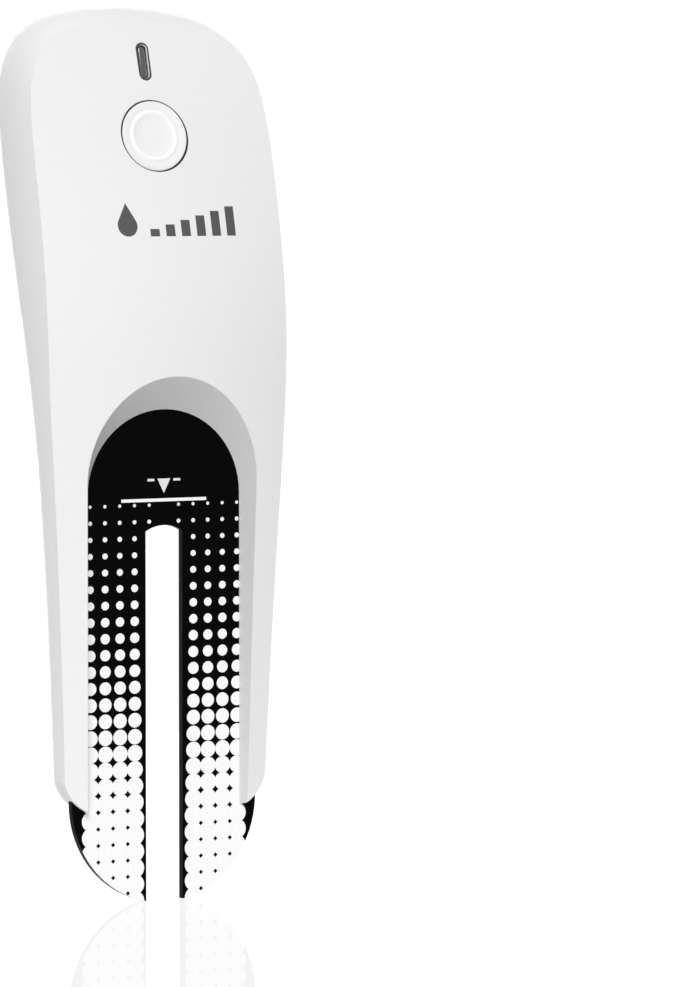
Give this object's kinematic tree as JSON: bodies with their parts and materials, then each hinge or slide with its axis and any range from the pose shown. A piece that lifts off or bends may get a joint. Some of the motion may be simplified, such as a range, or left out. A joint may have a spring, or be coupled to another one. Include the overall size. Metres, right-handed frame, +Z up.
{
  "type": "soil moisture sensor",
  "caption": "Paddle-shaped wireless soil moisture sensor: white housing with button and status light, arched window and a forked black probe board.",
  "frame": {"origin": "middle of the probe board's front face, on the line that marks how deep it may be planted", "axes": "+Z up along the probe board, -Y out of the front face with the button, +X to the right seen from the front"},
  "size_m": [0.0576, 0.0424, 0.1844],
  "materials": {
    "white_housing": "fine satin moulded ABS",
    "white_button": "satin moulded ABS",
    "seal_rubber": "soft silicone",
    "screw_steel": "stainless",
    "probe_black": "glossy black solder mask with white screen print",
    "board_green": "green solder mask",
    "moulding_black": "matt moulded",
    "shield_tin": "tinned sheet",
    "antenna_copper": "bright wire",
    "led_white": "satin",
    "bezel_chrome": "dark chrome plating",
    "lens_smoke": "smoked clear plastic",
    "tray_grey": "matt moulded",
    "cell_jacket": "printed foil jacket, density near that of a real cell",
    "contact_nickel": "nickel plated"
  },
  "bodies": {
    "housing": {"front_shell": "white_housing", "rear_shell": "white_housing", "housing_gasket": "seal_rubber", "probe_seal": "seal_rubber", "button_seal": "seal_rubber", "housing_screws": "screw_steel", "board_screws": "screw_steel", "probe_board": "probe_black", "main_board": "board_green", "board_header": "moulding_black", "microcontroller": "moulding_black", "switch_body": "moulding_black", "radio_module": "shield_tin", "helical_antenna": "antenna_copper", "status_led": "led_white", "led_bezel": "bezel_chrome", "led_lens": "lens_smoke", "battery_tray": "tray_grey", "battery_cell_left": "cell_jacket", "battery_cell_right": "cell_jacket", "contact_springs": "contact_nickel", "contact_plates": "contact_nickel", "contact_bridge": "contact_nickel", "supply_pins": "contact_nickel"},
    "button": {"pair_button": "white_button"},
    "plunger": {"switch_plunger": "moulding_black"},
    "door": {"battery_door": "white_housing", "door_gasket": "seal_rubber"},
    "upper_screw": {"door_screw_upper": "screw_steel"},
    "lower_screw": {"door_screw_lower": "screw_steel"}
  },
  "joints": [
    {"name": "button_press", "type": "slide", "parent": "housing", "child": "button", "axis": [0, 0.9703, -0.2419], "range_m": [0, 0.0005], "stiffness_N_per_m": 1500},
    {"name": "plunger_press", "type": "slide", "parent": "housing", "child": "plunger", "axis": [0, 0.9703, -0.2419], "range_m": [0, 0.0005]},
    {"name": "door_lift", "type": "slide", "parent": "housing", "child": "door", "axis": [0, 0.9703, -0.2419], "range_m": [0, 0.045]},
    {"name": "upper_screw_turn", "type": "hinge", "parent": "door", "child": "upper_screw", "pos_m": [0, 0.03457, 0.09063], "axis": [0, 0.9703, -0.2419], "continuous": true},
    {"name": "lower_screw_turn", "type": "hinge", "parent": "door", "child": "lower_screw", "pos_m": [0, 0.01872, 0.02707], "axis": [0, 0.9703, -0.2419], "continuous": true}
  ],
  "couplings": [
    {"joint": "plunger_press", "follows": "button_press", "ratio": 1}
  ]
}
